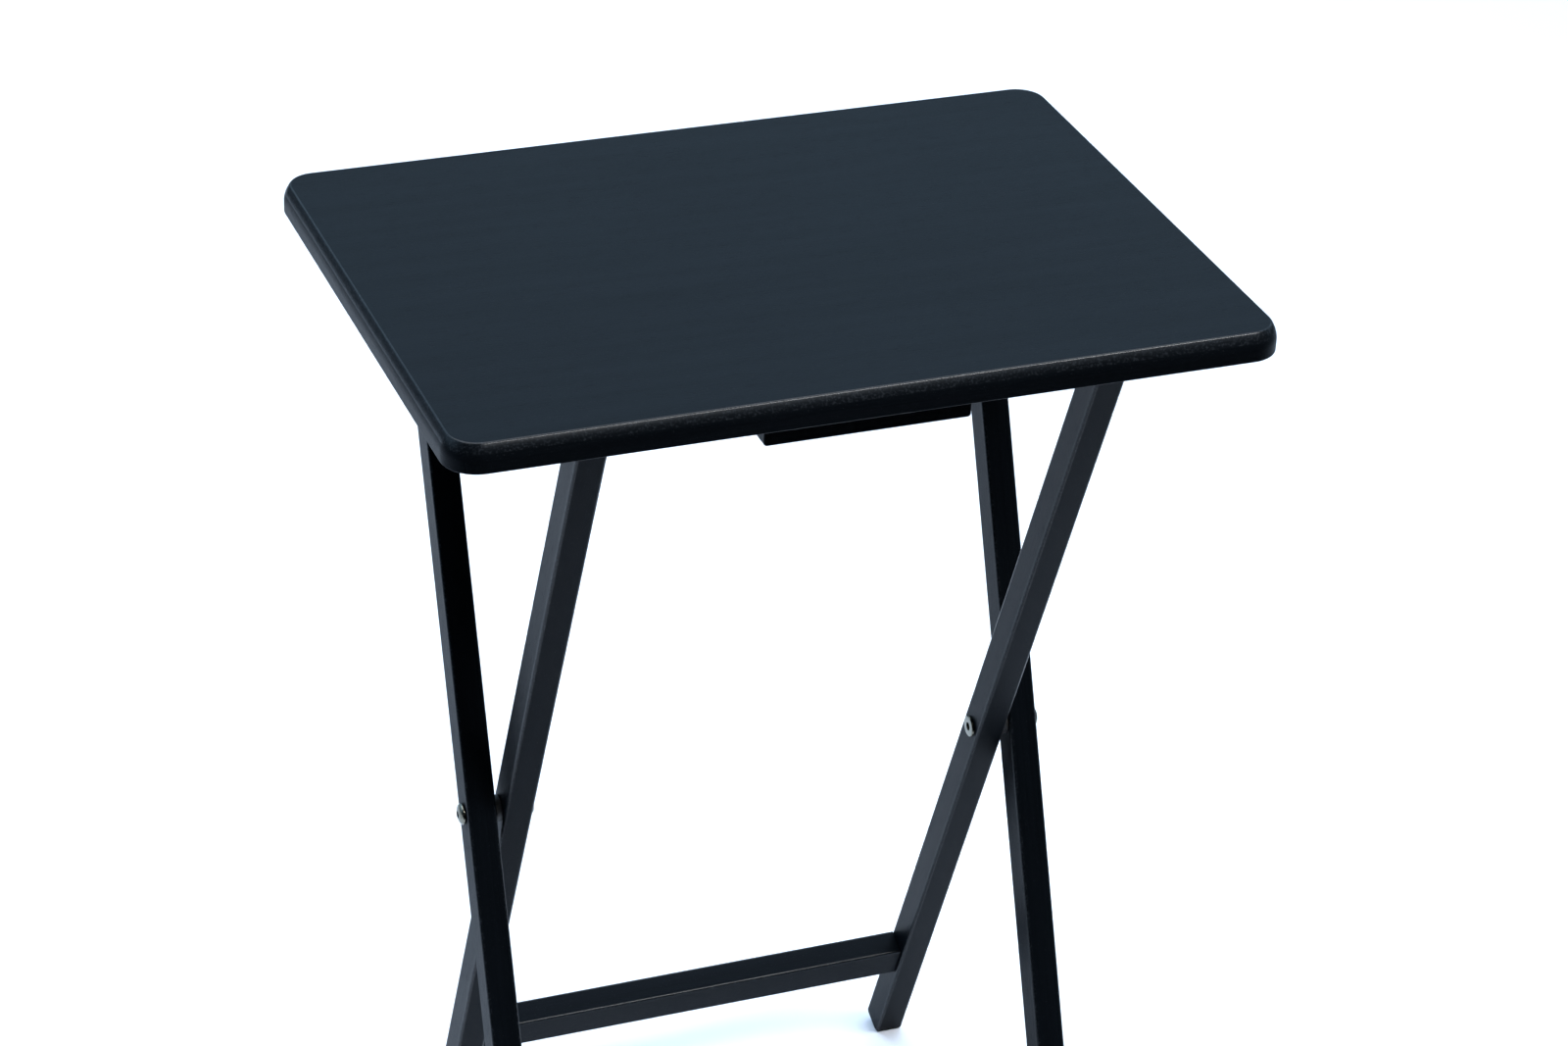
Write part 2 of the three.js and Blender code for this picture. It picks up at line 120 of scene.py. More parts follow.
# %% [markdown]
# ## Hand tools
# A short list of steps makes every wooden piece: put down a block, pick some of its edges or
# faces, round or inset them, and drill it. Picking is done by place and direction, because a
# script has no mouse. The helpers below are those steps, and each is one or two operators.

# %% Blocks, picking and rounding
def settle(name):
    """Names the new object and moves its place and size into its mesh."""
    piece = bpy.context.object
    piece.name = name
    piece.data.name = name
    bpy.ops.object.transform_apply(location=True, rotation=True, scale=True)
    return piece


def block(name, low, high):
    """A cube, sized and placed to fill the box between two corners."""
    bpy.ops.object.select_all(action="DESELECT")
    low, high = Vector(low), Vector(high)
    bpy.ops.mesh.primitive_cube_add(size=1, location=(low + high) / 2, scale=high - low)
    return settle(name)


def only(piece):
    """Makes one object the selected and active one."""
    bpy.ops.object.select_all(action="DESELECT")
    piece.select_set(True)
    bpy.context.view_layer.objects.active = piece


def pick(piece, kind, wanted):
    """Opens a piece in edit mode and picks the faces or edges that wanted(place, direction) accepts."""
    only(piece)
    bpy.ops.object.mode_set(mode="EDIT")
    bpy.ops.mesh.select_mode(type=kind)
    bpy.ops.mesh.select_all(action="DESELECT")
    mesh = bmesh.from_edit_mesh(piece.data)
    mesh.normal_update()
    for part in list(mesh.faces if kind == "FACE" else mesh.edges):
        if kind == "FACE":
            place, direction = part.calc_center_median(), part.normal
        else:
            first, second = (corner.co for corner in part.verts)
            place, direction = (first + second) / 2, (second - first).normalized()
        if wanted(place, direction):
            part.select_set(True)
    bmesh.update_edit_mesh(piece.data)


def leave():
    bpy.ops.object.mode_set(mode="OBJECT")


def round_edges(piece, wanted, radius, segments):
    """Rounds the picked edges."""
    pick(piece, "EDGE", wanted)
    bpy.ops.mesh.bevel(offset=radius, segments=segments, profile=0.5, affect="EDGES")
    leave()


def round_sharp_edges(piece, radius, segments=3):
    """Rounds every edge that is sharper than 30 degrees."""
    only(piece)
    bpy.ops.object.mode_set(mode="EDIT")
    bpy.ops.mesh.select_mode(type="EDGE")
    bpy.ops.mesh.select_all(action="DESELECT")
    bpy.ops.mesh.edges_select_sharp(sharpness=math.radians(30))
    bpy.ops.mesh.bevel(offset=radius, segments=segments, profile=0.5, affect="EDGES")
    leave()


# %% Turning, drilling and copying
def turn(name, outline, steps=48):
    """Turns an outline of (radius, height) points round Z, as a lathe does."""
    bpy.ops.object.select_all(action="DESELECT")
    bpy.ops.mesh.primitive_plane_add(size=MM, location=(outline[0][0], 0, outline[0][1]))
    piece = settle(name)
    bpy.ops.object.mode_set(mode="EDIT")
    bpy.ops.mesh.select_mode(type="VERT")
    bpy.ops.mesh.select_all(action="SELECT")
    bpy.ops.mesh.merge(type="CENTER")
    for (radius, height), (next_radius, next_height) in zip(outline, outline[1:]):
        step = (next_radius - radius, 0, next_height - height)
        bpy.ops.mesh.extrude_vertices_move(TRANSFORM_OT_translate={"value": step})
    bpy.ops.mesh.select_all(action="SELECT")
    bpy.ops.mesh.spin(steps=steps, angle=math.tau, center=(0, 0, 0), axis=(0, 0, 1))
    bpy.ops.mesh.select_all(action="SELECT")
    bpy.ops.mesh.remove_doubles(threshold=0.002 * MM)
    bpy.ops.mesh.normals_make_consistent(inside=False)
    leave()
    return piece


def bit(radius, start, finish, steps=32):
    """A drill bit: a closed rod between two points, used to cut a hole and then thrown away."""
    start, finish = Vector(start), Vector(finish)
    bpy.ops.object.select_all(action="DESELECT")
    turned = (finish - start).to_track_quat("Z", "Y").to_euler()
    bpy.ops.mesh.primitive_cylinder_add(
        vertices=steps, radius=radius, depth=(finish - start).length,
        location=(start + finish) / 2, rotation=turned,
    )
    return settle("bit")


def drill(piece, *bits):
    """Cuts each bit out of the piece."""
    for cutter in bits:
        only(piece)
        bpy.ops.object.modifier_add(type="BOOLEAN")
        cut = piece.modifiers[-1]
        cut.operation = "DIFFERENCE"
        cut.solver = "MANIFOLD"
        cut.object = cutter
        bpy.ops.object.modifier_apply(modifier=cut.name)
        bpy.data.objects.remove(cutter)


def copy_of(piece, name):
    """A copy with a mesh of its own."""
    only(piece)
    bpy.ops.object.duplicate(linked=False)
    return settle(name)


def move(piece, matrix):
    """Moves or turns a piece and leaves the new place in its mesh."""
    only(piece)
    piece.matrix_world = matrix
    bpy.ops.object.transform_apply(location=True, rotation=True, scale=True)
    return piece


# %% [markdown]
# ## Wear and a painted highlight follow the shape
# Lacquer thins and polishes first on the rounded edges. Each face that lies on a rounding is
# marked with a number that the finishes read later; it places both that wear and a painted
# highlight of lighter specks along the edges. A rounding is easy to tell by its
# normal: it points along none of the three main directions of the upright piece.
#
# The last step of every piece is smooth shading, kept sharp across real corners, and weighted
# normals, so that the big flat faces stay flat and only the roundings catch the light.

# %% Marking worn and painted-highlight edges, shading and fitting
# Marks the rounded edges, where the finishes put wear and a painted highlight of lighter specks.
def mark_worn_and_highlight_edges(piece, is_edge):
    worn_and_highlight = piece.data.attributes.new("worn_and_highlight", "FLOAT", "FACE")
    marks = [1.0 if is_edge(face.center, face.normal) else 0.0 for face in piece.data.polygons]
    worn_and_highlight.data.foreach_set("value", marks)


def is_rounding(place, normal):
    return max(abs(normal.x), abs(normal.y), abs(normal.z)) < 0.985


def smooth(piece, angle=40):
    only(piece)
    bpy.ops.object.shade_smooth_by_angle(angle=math.radians(angle))
    bpy.ops.object.modifier_add(type="WEIGHTED_NORMAL")
    piece.modifiers[-1].keep_sharp = True
    bpy.ops.object.modifier_apply(modifier=piece.modifiers[-1].name)


def size_of(piece):
    places = [corner.co for corner in piece.data.vertices]
    low = Vector(min(place[axis] for place in places) for axis in range(3))
    high = Vector(max(place[axis] for place in places) for axis in range(3))
    return low, high


def fit(piece, body, slot, *nodes):
    """The piece takes the place of these frame nodes, on their body. Prints how well it fits."""
    smooth(piece)
    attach(piece, body)
    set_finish(piece, slot)
    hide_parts(*nodes)
    corners = [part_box(node) for node in nodes]
    node_low = Vector(min(low[axis] for low, high in corners) for axis in range(3))
    node_high = Vector(max(high[axis] for low, high in corners) for axis in range(3))
    low, high = size_of(piece)
    off = max(max(abs(a) for a in low - node_low), max(abs(a) for a in high - node_high))
    print(f"{piece.name}: {len(piece.data.polygons)} faces, within {off / MM:.2f} mm of the frame")


# %% [markdown]
# ## The tabletop
# The board is 17 mm thick with 20 mm corners. Its edge isn't a plain quarter round: the lower
# part is straight, the upper part leans in more and more, and a small tight rounding ends it.
# That tight line is what catches the light all the way round. A bevel makes only even
# roundings, so the edge is built up in steps instead: the top face is inset and lifted a
# little at a time, each step leaning in further than the one before.

# %% Board blank with rounded corners
STRAIGHT_EDGE = 6.5 * MM
CORNER_RADIUS = 20 * MM
LOWER_EDGE_RADIUS = 0.8 * MM

board_low, board_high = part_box("tabletop")
board = block("tray_board", board_low, (board_high.x, board_high.y, board_low.z + STRAIGHT_EDGE))
round_edges(board, lambda place, way: abs(way.z) > 0.9, CORNER_RADIUS, 16)
round_edges(
    board,
    lambda place, way: abs(way.z) < 0.1 and place.z < board_low.z + 0.1 * MM,
    LOWER_EDGE_RADIUS, 3,
)
print("board blank", [round(v / MM, 1) for v in board_high - board_low], "mm")

# %% Lean the edge in, step by step
BROW_STEPS = 8
BROW_LEAN = math.radians(36)  # how far the edge leans in where the tight rounding starts
ARRIS_RADIUS = 1.7 * MM
ARRIS_STEPS = 5
FLAT_RIM = 1.5 * MM

arris_rise = ARRIS_RADIUS * (1 - math.sin(BROW_LEAN))
brow_rise = board_high.z - board_low.z - STRAIGHT_EDGE - arris_rise
edge_steps = []
for step in range(BROW_STEPS):
    slope = BROW_LEAN * (step + 0.5) / BROW_STEPS
    rise = brow_rise / BROW_STEPS
    edge_steps.append((rise * math.tan(slope), rise))
for step in range(ARRIS_STEPS):
    before = BROW_LEAN + (math.pi / 2 - BROW_LEAN) * step / ARRIS_STEPS
    after = BROW_LEAN + (math.pi / 2 - BROW_LEAN) * (step + 1) / ARRIS_STEPS
    inward = ARRIS_RADIUS * (math.cos(before) - math.cos(after))
    edge_steps.append((inward, ARRIS_RADIUS * (math.sin(after) - math.sin(before))))
edge_steps.append((FLAT_RIM, 0))

pick(board, "FACE", lambda place, normal: normal.z > 0.9)
for inward, rise in edge_steps:
    bpy.ops.mesh.inset(thickness=inward, depth=rise, use_even_offset=True)
leave()
pick(board, "FACE", lambda place, normal: normal.z < -0.9)
bpy.ops.mesh.inset(thickness=FLAT_RIM, depth=0)
leave()
mark_worn_and_highlight_edges(board, lambda place, normal: 0.3 < normal.z < 0.97)
print(f"edge leans in {sum(inward for inward, rise in edge_steps[:-1]) / MM:.1f} mm")

# %% [markdown]
# ## The legs
# All four legs are one shape: a square-sawn stick, round at the top, with a square-cut foot
# whose heel is eased and whose toe is planed level where it stands. The stick is made upright
# round the pivot and leaned over. The toe is then cut by the floor itself, with a bisect, so it
# always stands flat. The other frame's legs are the same stick turned to face the other way.

# %% One stick, leaned over and cut level at the floor
LEG_EDGE_RADIUS = 1.7 * MM
HEEL_RADIUS = 3.2 * MM
FOOT_FLAT_LIFT = 1.5 * MM

leg_low, leg_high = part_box("outer_leg_right")
leg_width = leg_high.x - leg_low.x
leg_depth = 2 * (leg_high.z - hinge.z)
half_depth = leg_depth / 2
foot_reach = (pivot.z - half_depth * math.sin(lean) + FOOT_FLAT_LIFT) / math.cos(lean)

stick = block(
    "stick",
    (-leg_width / 2, -half_depth, -foot_reach),
    (leg_width / 2, half_depth, hinge_reach + half_depth),
)
TOP_EDGES = hinge_reach + half_depth - 0.1 * MM
HEEL_EDGE = -foot_reach + 0.1 * MM
round_edges(stick, lambda place, way: abs(way.x) > 0.9 and place.z > TOP_EDGES, 0.995 * half_depth, 12)
round_edges(
    stick,
    lambda place, way: abs(way.x) > 0.9 and place.z < HEEL_EDGE and place.y < 0,
    HEEL_RADIUS, 5,
)
move(stick, OUTER_LEAN)
pick(stick, "FACE", lambda place, normal: False)
bpy.ops.mesh.select_all(action="SELECT")
bpy.ops.mesh.bisect(plane_co=(0, 0, 0), plane_no=(0, 0, -1), use_fill=True, clear_outer=True)
leave()
move(stick, OUTER_LEAN.inverted())
round_sharp_edges(stick, LEG_EDGE_RADIUS)
mark_worn_and_highlight_edges(stick, lambda place, normal: is_rounding(place, normal) and abs(normal.x) > 0.15)
print("stick", [round(v / MM, 1) for v in size_of(stick)[1] - size_of(stick)[0]], "mm")

# %% [markdown]
# ## Boring the legs
# The outer legs have a through hole for the pivot bolt, a hole for the brass insert at the top
# and a countersunk hole for the rail's screw. The inner legs have a stepped hole for the bolt's
# sleeve nut, a blind hole for the end of the round bar and two for the stretcher's dowels. The
# drill bits are placed by the frame's own hardware, so every hole meets its bolt.

# %% Hole sizes, read from the hardware
EASE = 0.3 * MM  # between a hole and what goes in it
OVERRUN = 1 * MM
BOLT_RADIUS = 3 * MM
SCREW_RADIUS = 2 * MM
SCREW_HEAD_RADIUS = 3.9 * MM
SCREW_HEAD_HEIGHT = 2.4 * MM


def half_height(node):
    low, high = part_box(node)
    return (high.z - low.z) / 2


def upright(point, leaned):
    """A point of the finished table, seen on the bench before its frame is leaned over."""
    return leaned.inverted() @ Vector(point)


insert_radius = half_height("hinge_insert_right")
outer_x = middle_of("outer_leg_right").x
inner_x = middle_of("inner_leg_right").x
inner_leg_low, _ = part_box("inner_leg_right")
bar_node_low, bar_node_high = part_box("inner_top_bar")
bar_middle = upright(middle_of("inner_top_bar"), INNER_LEAN)
bar_radius = (bar_node_high.z - bar_node_low.z) / 2
rail_middle = upright(middle_of("outer_rail"), OUTER_LEAN)
stretcher_middle = upright(middle_of("inner_stretcher"), INNER_LEAN)
print(f"bar at {bar_middle.z / MM:.1f}, rail at {rail_middle.z / MM:.1f} mm from the pivot")


def screw_bits(mouth, way, length):
    """Two bits for a countersunk screw: a slim one for the shank and a cone for the head."""
    mouth, way = Vector(mouth), Vector(way)
    shank = bit(SCREW_RADIUS + EASE, mouth - way * OVERRUN, mouth + way * (length + 2 * EASE), 16)
    head = SCREW_HEAD_RADIUS + EASE
    depth = SCREW_HEAD_HEIGHT + EASE
    outline = [(0, -OVERRUN), (head, -OVERRUN), (head, EASE), (SCREW_RADIUS, depth), (0, depth)]
    cone = turn("cone", outline, 24)
    cone.rotation_euler = way.to_track_quat("Z", "Y").to_euler()
    cone.location = mouth
    only(cone)
    return [shank, settle("cone")]


# %% The outer legs
RAIL_DEPTH = 12 * MM
RAIL_SCREW_LENGTH = 23 * MM
SLEEVE_RADIUS = 4.2 * MM
SLEEVE_LENGTH = 12 * MM
TENON_RADIUS = 4 * MM
DOWEL_RADIUS = 3 * MM
INSERT_LENGTH = 13 * MM

rail_front = rail_middle.y - RAIL_DEPTH / 2
for side, sign in (("left", -1), ("right", 1)):
    leg = copy_of(stick, f"{side}_outer_leg")
    move(leg, Matrix.Translation((sign * outer_x, 0, 0)))
    outside = sign * (outer_x + leg_width / 2)
    inside = sign * (outer_x - leg_width / 2)
    drill(
        leg,
        bit(BOLT_RADIUS + EASE, (inside - sign * OVERRUN, 0, 0), (outside + sign * OVERRUN, 0, 0)),
        bit(
            insert_radius + EASE,
            (outside - sign * (INSERT_LENGTH + EASE), 0, hinge_reach),
            (outside + sign * OVERRUN, 0, hinge_reach),
        ),
        *screw_bits((sign * outer_x, rail_front, rail_middle.z), (0, 1, 0), RAIL_SCREW_LENGTH),
    )
    move(leg, OUTER_LEAN)
    fit(leg, "outer_frame", "black_lacquer", f"outer_leg_{side}")

# %% The inner legs
TURN_ROUND = Matrix.Rotation(math.pi, 4, "Z")
dowel_heights = [
    upright(middle_of(f"stretcher_dowel_right_{place}"), INNER_LEAN).z for place in ("upper", "lower")
]
dowel_low, dowel_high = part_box("stretcher_dowel_right_upper")
tenon_tip = bar_node_high.x
for side, sign in (("left", -1), ("right", 1)):
    leg = copy_of(stick, f"{side}_inner_leg")
    move(leg, Matrix.Translation((sign * inner_x, 0, 0)) @ TURN_ROUND)
    inside = sign * (inner_x - leg_width / 2 - OVERRUN)
    outside = sign * (inner_x + leg_width / 2 + OVERRUN)
    sleeve_end = sign * (inner_x - leg_width / 2 + SLEEVE_LENGTH)
    bits = [
        bit(BOLT_RADIUS + EASE, (inside, 0, 0), (outside, 0, 0)),
        bit(SLEEVE_RADIUS + EASE, (inside, 0, 0), (sleeve_end, 0, 0)),
        bit(
            TENON_RADIUS + EASE,
            (inside, bar_middle.y, bar_middle.z),
            (sign * (tenon_tip + EASE), bar_middle.y, bar_middle.z),
        ),
    ]
    for height in dowel_heights:
        dowel_end = sign * (dowel_high.x + EASE)
        start = (inside, stretcher_middle.y, height)
        bits.append(bit(DOWEL_RADIUS + EASE, start, (dowel_end, stretcher_middle.y, height), 24))
    drill(leg, *bits)
    move(leg, INNER_LEAN)
    fit(leg, "inner_frame", "black_lacquer", f"inner_leg_{side}")
bpy.data.objects.remove(stick)

# %% [markdown]
# ## The cross pieces
# The outer frame is held square by a rail screwed on the front of its legs. The inner frame
# has a stretcher dowelled between its legs, and a round bar between their tops. The rail and
# the stretcher are blocks with rounded edges. The bar is turned, with a thinner tenon at each
# end that plugs into the leg.

# %% Rail, stretcher and top bar
RAIL_EDGE_RADIUS = 1.6 * MM
RAIL_HEIGHT = 25 * MM
STRETCHER_DEPTH = 17 * MM
STRETCHER_HEIGHT = 25 * MM
TENON_CHAMFER = 0.8 * MM
BAR_END_RADIUS = 0.7 * MM

rail_low_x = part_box("outer_rail")[0].x
rail = block(
    "outer_rail_board",
    (rail_low_x, rail_front, rail_middle.z - RAIL_HEIGHT / 2),
    (-rail_low_x, rail_front + RAIL_DEPTH, rail_middle.z + RAIL_HEIGHT / 2),
)
round_sharp_edges(rail, RAIL_EDGE_RADIUS)
mark_worn_and_highlight_edges(rail, is_rounding)
for sign in (-1, 1):
    drill(rail, *screw_bits((sign * outer_x, rail_front, rail_middle.z), (0, 1, 0), RAIL_SCREW_LENGTH))
move(rail, OUTER_LEAN)
fit(rail, "outer_frame", "black_lacquer", "outer_rail")

stretcher_low_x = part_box("inner_stretcher")[0].x
stretcher = block(
    "stretcher_board",
    (stretcher_low_x, stretcher_middle.y - STRETCHER_DEPTH / 2, stretcher_middle.z - STRETCHER_HEIGHT / 2),
    (-stretcher_low_x, stretcher_middle.y + STRETCHER_DEPTH / 2, stretcher_middle.z + STRETCHER_HEIGHT / 2),
)
round_edges(stretcher, lambda place, way: abs(way.x) > 0.9, RAIL_EDGE_RADIUS, 3)
mark_worn_and_highlight_edges(stretcher, is_rounding)
for sign in (-1, 1):
    for height in dowel_heights:
        start = (sign * (dowel_low.x - EASE), stretcher_middle.y, height)
        end = (sign * (-stretcher_low_x + OVERRUN), stretcher_middle.y, height)
        drill(stretcher, bit(DOWEL_RADIUS + EASE, start, end, 24))
move(stretcher, INNER_LEAN)
fit(stretcher, "inner_frame", "black_lacquer", "inner_stretcher")

shoulder = inner_leg_low.x - EASE
bar = turn("top_bar", [
    (0, -tenon_tip),
    (TENON_RADIUS - TENON_CHAMFER, -tenon_tip),
    (TENON_RADIUS, TENON_CHAMFER - tenon_tip),
    (TENON_RADIUS, -shoulder),
    (bar_radius - BAR_END_RADIUS, -shoulder),
    (bar_radius, BAR_END_RADIUS - shoulder),
    (bar_radius, shoulder - BAR_END_RADIUS),
    (bar_radius - BAR_END_RADIUS, shoulder),
    (TENON_RADIUS, shoulder),
    (TENON_RADIUS, tenon_tip - TENON_CHAMFER),
    (TENON_RADIUS - TENON_CHAMFER, tenon_tip),
    (0, tenon_tip),
], 64)
bar_laid = Matrix.Translation((0, bar_middle.y, bar_middle.z)) @ Matrix.Rotation(math.pi / 2, 4, "Y")
move(bar, INNER_LEAN @ bar_laid)
fit(bar, "inner_frame", "black_lacquer", "inner_top_bar")

# %% [markdown]
# ## Strips under the top
# Two cleats under the top carry the hinge bolts. At the front, a catch strip holds the round
# bar when the table is open: the bar slides in from behind, over a thin jaw and against the
# strip's front wall. The strip starts as a block, and its seat is cut with a second block that
# has one edge rounded to the bar's own radius. The jaw's tip is bevelled so that the bar
# finds its way in.

# %% Catch strip
CATCH_END_RADIUS = 2 * MM
CATCH_EDGE_RADIUS = 1 * MM
LEAD_IN = 2 * MM

bar_place = middle_of("inner_top_bar")
seat_radius = bar_radius + EASE
catch_low, catch_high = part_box("catch_strip")
catch = block("catch_block", catch_low, catch_high)
round_edges(
    catch,
    lambda place, way: abs(way.y) > 0.9 and place.z < catch_low.z + 0.1 * MM,
    CATCH_END_RADIUS, 4,
)
seat = block(
    "seat_cutter",
    (catch_low.x - OVERRUN, bar_place.y - seat_radius, bar_place.z - seat_radius),
    (catch_high.x + OVERRUN, catch_high.y + OVERRUN, catch_high.z + OVERRUN),
)
round_edges(
    seat,
    lambda place, way: abs(way.x) > 0.9 and place.y < bar_place.y and place.z < bar_place.z,
    0.999 * seat_radius, 10,
)
drill(catch, seat)
round_edges(
    catch,
    lambda place, way: abs(way.x) > 0.9
    and place.y > catch_high.y - 0.1 * MM
    and abs(place.z - bar_place.z + seat_radius) < 0.1 * MM,
    LEAD_IN, 2,
)
round_sharp_edges(catch, CATCH_EDGE_RADIUS)
mark_worn_and_highlight_edges(catch, lambda place, normal: is_rounding(place, normal) and place.z < catch_low.z + LEAD_IN)

CATCH_SCREWS = ["catch_screw_left", "catch_screw_middle", "catch_screw_right"]
for name in CATCH_SCREWS:
    low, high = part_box(name)
    mouth = (middle_of(name).x, middle_of(name).y, catch_low.z)
    drill(catch, *screw_bits(mouth, (0, 0, 1), high.z - low.z))
fit(catch, "tabletop", "black_lacquer", "catch_strip")

# %% Hinge cleats
CLEAT_EDGE_RADIUS = 1.8 * MM
CLEAT_SCREWS = {
    side: [f"cleat_screw_{side}_{place}" for place in ("front", "middle", "rear")]
    for side in ("left", "right")
}

cleat_low, cleat_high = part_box("hinge_cleat_right")
cleat = block("right_cleat", cleat_low, cleat_high)
round_sharp_edges(cleat, CLEAT_EDGE_RADIUS)
mark_worn_and_highlight_edges(cleat, is_rounding)
drill(
    cleat,
    bit(BOLT_RADIUS + EASE, (cleat_low.x - OVERRUN, *hinge.yz), (cleat_high.x + OVERRUN, *hinge.yz)),
)
for name in CLEAT_SCREWS["right"]:
    low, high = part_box(name)
    mouth = (middle_of(name).x, middle_of(name).y, cleat_low.z)
    drill(cleat, *screw_bits(mouth, (0, 0, 1), high.z - low.z))
left_cleat = copy_of(cleat, "left_cleat")
move(left_cleat, Matrix.Translation((-cleat_low.x - cleat_high.x, 0, 0)))
fit(cleat, "tabletop", "black_lacquer", "hinge_cleat_right")
fit(left_cleat, "tabletop", "black_lacquer", "hinge_cleat_left")

# %% Drill the board for its screws
for name in CATCH_SCREWS + CLEAT_SCREWS["left"] + CLEAT_SCREWS["right"]:
    _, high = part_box(name)
    x, y, _ = middle_of(name)
    drill(board, bit(SCREW_RADIUS + EASE, (x, y, board_low.z - OVERRUN), (x, y, high.z + EASE), 16))
fit(board, "tabletop", "black_lacquer", "tabletop")

# %% [markdown]
# ## Turned hardware
# The bolts, nuts, spacers, washers and screws are all round, so each starts as an outline that
# is turned once round its axis. Half outlines in (radius, height) are easy to read off a drawing.
# The hexagonal sockets and the crosses in the screw heads are cut afterwards. Each kind is made
# once, standing on the bench, and is copied to both sides.

# %% Outlines that repeat
def threads(start, finish, crest, pitch=1.2 * MM, depth=0.45 * MM):
    """The zigzag of a thread between two heights."""
    count = max(1, round(abs(finish - start) / pitch))
    step = (finish - start) / count
    points = []
    for ridge in range(count):
        points.append((crest - depth, start + step * ridge))
        points.append((crest, start + step * (ridge + 0.5)))
    return points + [(crest - depth, finish)]


def hexagon_bit(across_flats, start, finish):
    """A six-sided bit, as wide across its flats as the key that fits the socket."""
    return bit(across_flats / math.sqrt(3), start, finish, 6)


def along_x(sign, x, y=0.0, z=0.0):
    """Where a piece made upright ends up when it is laid along X, facing out on its side."""
    return Matrix.Translation((x, y, z)) @ Matrix.Rotation(sign * math.pi / 2, 4, "Y")


# %% Domed bolts
HEAD_RADIUS = 6.5 * MM
HEAD_RIM = 0.7 * MM
HEAD_LIP = 0.35 * MM
DOME_STEPS = 9
BOLT_SOCKET = 4 * MM
BOLT_SOCKET_DEPTH = 2 * MM
BOLT_TIP = 0.6 * MM


def domed_bolt(name, shank, head_height, thread_length):
    """A bolt with its shank below z = 0 and a low dome with a hexagonal socket above it."""
    dome = []
    for step in range(DOME_STEPS + 1):
        angle = math.pi / 2 * step / DOME_STEPS
        dome.append((HEAD_RADIUS * math.cos(angle), HEAD_RIM + (head_height - HEAD_RIM) * math.sin(angle)))
    dome[-1] = (0, head_height)
    outline = [
        (0, -shank),
        (BOLT_RADIUS - BOLT_TIP, -shank),
        *threads(BOLT_TIP - shank, thread_length - shank, BOLT_RADIUS),
        (BOLT_RADIUS, thread_length - shank + BOLT_TIP),
        (BOLT_RADIUS, 0),
        (HEAD_RADIUS - HEAD_LIP, 0),
        (HEAD_RADIUS, HEAD_LIP),
        *dome,
    ]
    bolt = turn(name, outline, 48)
    socket_floor = head_height - BOLT_SOCKET_DEPTH
    drill(bolt, hexagon_bit(BOLT_SOCKET, (0, 0, socket_floor), (0, 0, head_height + OVERRUN)))
    return bolt


for kind, reach, seat_node, thread in (
    ("pivot_bolt", 0.0, "outer_leg_right", 14 * MM),
    ("hinge_bolt", hinge_reach, "hinge_cleat_right", 12 * MM),
):
    low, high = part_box(f"{kind}_right")
    seat_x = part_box(seat_node)[1].x + EASE
    pattern = domed_bolt(kind, seat_x - low.x, high.x - seat_x, thread)
    for side, sign in (("left", -1), ("right", 1)):
        bolt = copy_of(pattern, f"{side}_{kind}")
        move(bolt, OUTER_LEAN @ along_x(sign, sign * seat_x, 0, reach))
        fit(bolt, "outer_frame", "nickel_steel", f"{kind}_{side}")
    bpy.data.objects.remove(pattern)

# %% Sleeve nuts, spacers and washers
NUT_FLANGE_CHAMFER = 0.45 * MM
NUT_FLOOR = 3 * MM
NUT_SOCKET = 5 * MM
NUT_SOCKET_DEPTH = 2.5 * MM
RING_EDGE = 0.25 * MM

nut_low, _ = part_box("pivot_sleeve_nut_right")
nut_face = inner_leg_low.x - EASE
flange = nut_face - nut_low.x
flange_radius = half_height("pivot_sleeve_nut_right")
bore = BOLT_RADIUS + EASE
nut_pattern = turn("sleeve_nut", [
    (0, -flange),
    (flange_radius - NUT_FLANGE_CHAMFER, -flange),
    (flange_radius - 0.15 * MM, -flange + 0.15 * MM),
    (flange_radius, NUT_FLANGE_CHAMFER - flange),
    (flange_radius, 0),
    (SLEEVE_RADIUS, 0),
    (SLEEVE_RADIUS, SLEEVE_LENGTH),
    (bore, SLEEVE_LENGTH),
    (bore, NUT_FLOOR),
    (0, NUT_FLOOR),
])
socket_end = NUT_SOCKET_DEPTH - flange
drill(nut_pattern, hexagon_bit(NUT_SOCKET, (0, 0, -flange - OVERRUN), (0, 0, socket_end)))


def ring_pattern(name, node):
    """A flat ring round a bolt, with its edges just broken."""
    low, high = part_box(node)
    radius, length = half_height(node), high.x - low.x
    return turn(name, [
        (bore, 0),
        (radius - RING_EDGE, 0),
        (radius, RING_EDGE),
        (radius, length - RING_EDGE),
        (radius - RING_EDGE, length),
        (bore, length),
        (bore, 0),
    ])


patterns = [
    (nut_pattern, "pivot_sleeve_nut", "nickel_steel", nut_face, 0.0),
    (ring_pattern("spacer", "pivot_spacer_right"), "pivot_spacer", "black_nylon",
     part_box("pivot_spacer_right")[0].x, 0.0),
    (ring_pattern("washer", "hinge_washer_right"), "hinge_washer", "black_nylon",
     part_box("hinge_washer_right")[0].x, hinge_reach),
]
for pattern, kind, slot, x, reach in patterns:
    for side, sign in (("left", -1), ("right", 1)):
        copied = copy_of(pattern, f"{side}_{kind}")
        move(copied, OUTER_LEAN @ along_x(sign, sign * x, 0, reach))
        fit(copied, "outer_frame", slot, f"{kind}_{side}")
    bpy.data.objects.remove(pattern)

# %% Wood screws
SCREW_TIP = 4 * MM
CROSS_SPAN = 4.2 * MM
CROSS_WIDTH = 0.9 * MM
CROSS_DEPTH = 1.4 * MM


